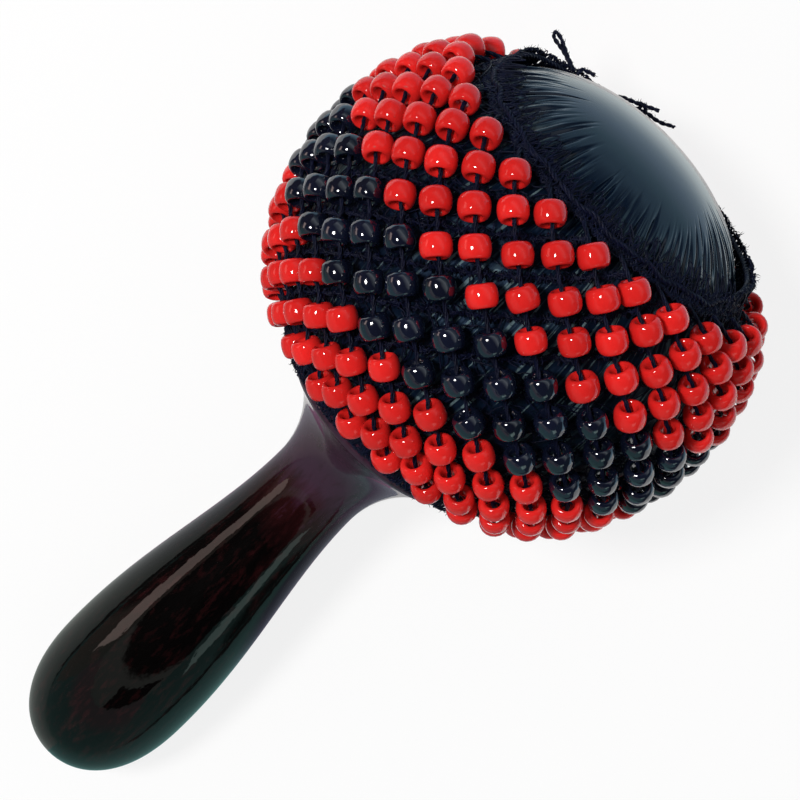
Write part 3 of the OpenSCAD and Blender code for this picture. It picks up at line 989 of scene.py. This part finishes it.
class CABASA_OT_edgings(bpy.types.Operator):
    """Crochets the ragged edgings round the openings at the dome and at the handle"""

    bl_idname = "cabasa.edgings"
    bl_label = "Crochet the edgings"

    def execute(self, context):
        self.crochet("top_crochet", -1, TOP_EDGE, TOP_SEED, "top_edging")
        self.crochet("bottom_crochet", ROWS, BOTTOM_EDGE, BOTTOM_SEED, "bottom_edging")
        return {"FINISHED"}

    def crochet(self, name, k, edge, seed, node):
        """One edging: rounds of chain, scallops, stitches, small loops, lace and fuzz."""
        bm = bmesh.new()
        rng = random.Random(seed)
        base = row_angle(k)
        start = NET_TURN + STRAND_TURN * k
        chain = []
        for share, lift in ((0.0, 0.4), (0.2, 0.3), (0.6, 0.1), (1.0, 0.0)):
            ring = self.ring(base, edge, share, lift * MM, rng)
            for width, period, raised in ((0.55, 2.3, 0), (0.6, 2.0, 0.3)):
                phase = rng.uniform(0, 6)
                chain.append(zigzag(ring, width * MM, period * MM, True, phase, raised * MM))
        sweep(bm, chain, EDGE_CHAIN, closed=True)
        scallops = []
        for shift in (0, 0.5):
            scallops += twisted(self.wave(base, edge, start, shift), 2, 0.2 * MM, 4 * MM, closed=True)
        sweep(bm, scallops, SCALLOP_PLY, closed=True)
        stitches = self.stitches(base, edge, 760, rng)
        sweep(bm, stitches, EDGE_STITCH)
        loops = self.picots(base, edge, rng) + self.lace(base, edge, rng)
        sweep(bm, loops, LACE_LOOP)
        sweep(bm, fuzz(chain + stitches + loops, 1500, 1.7 * MM, rng), EDGE_FIBRE, taper=True)
        add_piece(name, bm, crochet_thread(), "bead_net", "net_thread", node)

    def hug(self, edge, turn):
        """How close the edging lies to the ball, which only the one at the dome does."""
        return hugging(turn) if edge < 90 else 0

    def place(self, base, edge, share, turn, lift):
        """A point of the band: share 0 is where the strands end and 1 is the edge, off the ball."""
        hug = self.hug(edge, turn)
        rise = min(1, max(0, share))
        height = (0.8 + (3.9 - 3.6 * hug) * rise ** 1.5) * MM + lift
        colat = base + (edge - base) * share * (1 - 0.12 * hug)
        return on_ball(sizes().ball_radius + height, colat, turn)

    def ring(self, base, edge, share, lift, rng):
        """One round of the crochet, a little uneven."""
        sway = [(n, rng.uniform(0, 6.28), rng.uniform(0.02, 0.05)) for n in (5, 11, 23, 41)]
        line = []
        for i in range(760):
            turn = 360 * i / 760
            off = sum(much * math.sin(n * math.radians(turn) + phase) for n, phase, much in sway)
            drawn = 0.95 * self.hug(edge, turn) * max(0, share - 0.1)
            line.append(self.place(base, edge, share + off - drawn, turn, lift))
        return line

    def wave(self, base, edge, start, shift):
        """The scallops: up over the drawstring and down to the ball, round the opening."""
        line = []
        for i in range(SCALLOPS * 8):
            rise = (1 - math.cos(math.tau * (i / 8 + shift))) / 2
            line.append(self.place(base, edge, rise, start + 360 * i / (SCALLOPS * 8), 0.1 * MM))
        return line

    def stitches(self, base, edge, count, rng):
        """Short bent threads that run from the strands' ends towards the edge, over each other."""
        lines = []
        for _ in range(count):
            turn = rng.uniform(0, 360)
            if edge < 90 and rng.random() < 0.9 * hugging(turn):
                continue
            lean = rng.gauss(0, 2.4)
            bend = rng.gauss(0, 1.0)
            first = rng.uniform(-0.65, 0.4)
            ragged = rng.uniform(0.98, 1.12)
            if rng.random() > 0.15:
                ragged -= 0.75 * self.hug(edge, turn)
            last = max(first + 0.3, min(ragged, first + rng.uniform(0.5, 1.2)))
            lift = rng.uniform(-0.3, 0.6) * MM
            lines.append([self.place(base, edge, first + (last - first) * j / 6,
                                     turn + lean * j / 6 + bend * bow(j, 6),
                                     lift + 0.4 * MM * bow(j, 6)) for j in range(7)])
        return lines

    def lace(self, base, edge, rng):
        """Open arches of all sizes that lean over each other between the strands' ends and the edge."""
        arches = []
        for count, low, high, top in ((150, -0.1, 0.4, 1.05), (190, 0.3, 1.2, 1.9)):
            for i in range(count):
                turn = 360 * i / count + rng.uniform(-1.2, 1.2)
                if high > 0.5 and (edge > 90 or rng.random() > hugging(turn)):
                    continue
                foot = rng.uniform(low, high)
                tall = rng.uniform(0.35, top - foot)
                wide = rng.uniform(0.8, 2.6)
                lean = rng.gauss(0, 1.2)
                lift = rng.uniform(0.0, 0.7) * MM
                arches.append([self.place(base, edge, foot + tall * bow(j, 9),
                                          turn + wide * (j / 4.5 - 1) + lean * bow(j, 9), lift)
                               for j in range(10)])
        return arches

    def picots(self, base, edge, rng):
        """Small loops that stand on the edge."""
        loops = []
        for i in range(SCALLOPS * 3):
            turn = 360 * i / (SCALLOPS * 3) + rng.uniform(-0.9, 0.9)
            if edge < 90 and rng.random() < 0.7 * hugging(turn):
                continue
            tall = rng.uniform(0.1, 1.0) * MM
            reach = rng.uniform(0.0, 0.13)
            wide = rng.uniform(0.8, 1.7)
            loops.append([self.place(base, edge, 1 + reach * bow(j, 7),
                                     turn + wide * (j / 3.5 - 1), tall * bow(j, 7) - 0.1 * MM)
                          for j in range(8)])
        return loops


class CABASA_OT_drawstrings(bpy.types.Operator):
    """Threads the drawstrings through both edgings and leaves their loose ends"""

    bl_idname = "cabasa.drawstrings"
    bl_label = "Thread the drawstrings"

    def execute(self, context):
        thread = crochet_thread()
        for name, edge, hold in (("top", TOP_EDGE, 1), ("bottom", BOTTOM_EDGE, 0)):
            bm = bmesh.new()
            ring = []
            for turn in range(360):
                hug = hold * hugging(turn)
                sway = 0.7 * math.sin(math.radians(17 * turn)) + 0.5 * math.sin(math.radians(29 * turn))
                lift = (3.1 - 1.9 * hug) * MM
                slide = (3.6 + 0.6 * sway) * hug
                ring.append(on_ball(sizes().ball_radius + lift, edge + slide, turn))
            sweep(bm, twisted(ring, 3, 0.46 * MM, 5 * MM, closed=True), DRAW_PLY, closed=True)
            add_piece(f"{name}_draw_cord", bm, thread, "bead_net", "net_thread", f"{name}_drawstring")
        self.leave_tails(thread)
        return {"FINISHED"}

    def leave_tails(self, thread):
        """The loop, the tails and a small tangle between two of them."""
        bm = bmesh.new()
        rng = random.Random(TAIL_SEED)
        plies = []
        for route in TAIL_ROUTES:
            points = [on_ball(sizes().ball_radius + lift * MM, colat, turn) for lift, colat, turn in route]
            line = self.smooth(points)
            plies += twisted(line, 2, 0.26 * MM, 4 * MM)
        sweep(bm, plies, TAIL_PLY)
        sweep(bm, fuzz(plies, 240, 1.4 * MM, rng), TAIL_FIBRE, taper=True)
        add_piece("loose_tails", bm, thread, "bead_net", "net_thread", "drawstring_tails")

    def smooth(self, points):
        """A finer line through the points."""
        ends = [points[0]] + points + [points[-1]]
        line = []
        for a, b, c, d in zip(ends, ends[1:], ends[2:], ends[3:]):
            for i in range(6):
                t = i / 6
                line.append(0.5 * (2 * b + (c - a) * t + (2 * a - 5 * b + 4 * c - d) * t * t
                                   + (3 * b - a - 3 * c + d) * t ** 3))
        return line + [points[-1]]


class CABASA_OT_fixings(bpy.types.Operator):
    """Gives the screw and washer inside the ball their zinc plating"""

    bl_idname = "cabasa.fixings"
    bl_label = "Plate the fixings"

    def execute(self, context):
        steel = zinc_steel()
        for name in ("screw_washer", "handle_screw"):
            node = frame["nodes"][name]
            node.data.materials.clear()
            node.data.materials.append(steel)
        return {"FINISHED"}


class CABASA_PT_panel(bpy.types.Panel):
    """Lists the cabasa's sizes, colours and steps"""

    bl_label = "Cabasa"
    bl_space_type = "VIEW_3D"
    bl_region_type = "UI"
    bl_category = "Cabasa"

    def draw(self, context):
        for step in STEPS:
            self.layout.operator(step.bl_idname)
        for group in (context.scene.cabasa_sizes, context.scene.cabasa_colours):
            box = self.layout.box()
            for name in group.bl_rna.properties.keys():
                if name not in ("rna_type", "name"):
                    box.prop(group, name)


STEPS = (
    CABASA_OT_stage, CABASA_OT_handle, CABASA_OT_ball, CABASA_OT_beads, CABASA_OT_strands,
    CABASA_OT_cords, CABASA_OT_edgings, CABASA_OT_drawstrings, CABASA_OT_fixings,
)
CLASSES = (CabasaSizes, CabasaColours) + STEPS + (CABASA_PT_panel,)


def register():
    for cls in CLASSES:
        bpy.utils.register_class(cls)
    bpy.types.Scene.cabasa_sizes = PointerProperty(type=CabasaSizes)
    bpy.types.Scene.cabasa_colours = PointerProperty(type=CabasaColours)


def unregister():
    del bpy.types.Scene.cabasa_colours
    del bpy.types.Scene.cabasa_sizes
    for cls in reversed(CLASSES):
        bpy.utils.unregister_class(cls)


def main():
    register()
    for step in STEPS:
        group, name = step.bl_idname.split(".")
        getattr(getattr(bpy.ops, group), name)()


if __name__ == "__main__":
    main()
